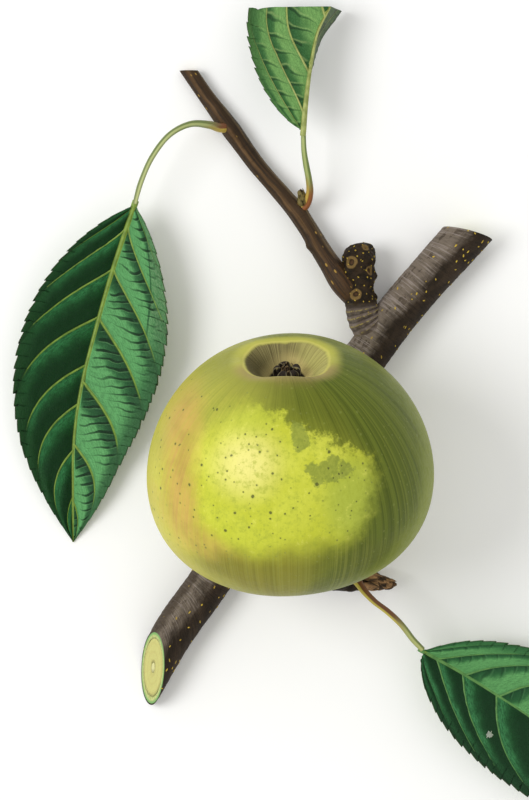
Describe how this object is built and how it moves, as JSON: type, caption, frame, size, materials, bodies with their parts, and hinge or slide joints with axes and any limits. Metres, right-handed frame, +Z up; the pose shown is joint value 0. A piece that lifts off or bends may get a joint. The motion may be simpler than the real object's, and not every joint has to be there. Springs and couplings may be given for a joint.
{
  "type": "whole green apple on its leafy branch",
  "caption": "Whole green eating apple hanging by its stalk from a cut branch with a twig, spurs, buds and toothed leaves, laid on a table.",
  "frame": {"origin": "under the middle of the object's box, on the table it lies on", "axes": "+Z up from the table, +Y towards the trimmed top leaf, +X towards the branch's upper end"},
  "size_m": [0.1916, 0.239, 0.0872],
  "materials": {
    "skin": "waxy fruit skin, yellow-green with a dark olive side, fine dots and a soft gloss",
    "bark": "dark brown young bark with a grey bloom, cross wrinkles and ochre dots",
    "twig_bark": "smooth dark brown twig bark with fine ribs",
    "wood": "fresh cut pale wood",
    "pith": "pale soft pith",
    "leaf": "satin leaf, dark green above and paler beneath, with yellow-green veins",
    "leaf_stalk": "pale green leaf stalk, reddish at its base",
    "dried": "dry brown scales"
  },
  "bodies": {
    "root": {"fruit": "skin", "calyx": "dried", "stalk": "twig_bark", "branch_bark": "bark", "branch_wood": "wood", "branch_pith": "pith", "spur": "bark", "fruit_spur": "bark", "twig": "twig_bark", "end_bud": "dried", "side_bud": "dried", "leaf_left_blade": "leaf", "leaf_left_stalk": "leaf_stalk", "leaf_right_blade": "leaf", "leaf_right_stalk": "leaf_stalk", "leaf_top_blade": "leaf", "leaf_top_stalk": "leaf_stalk"}
  },
  "joints": []
}
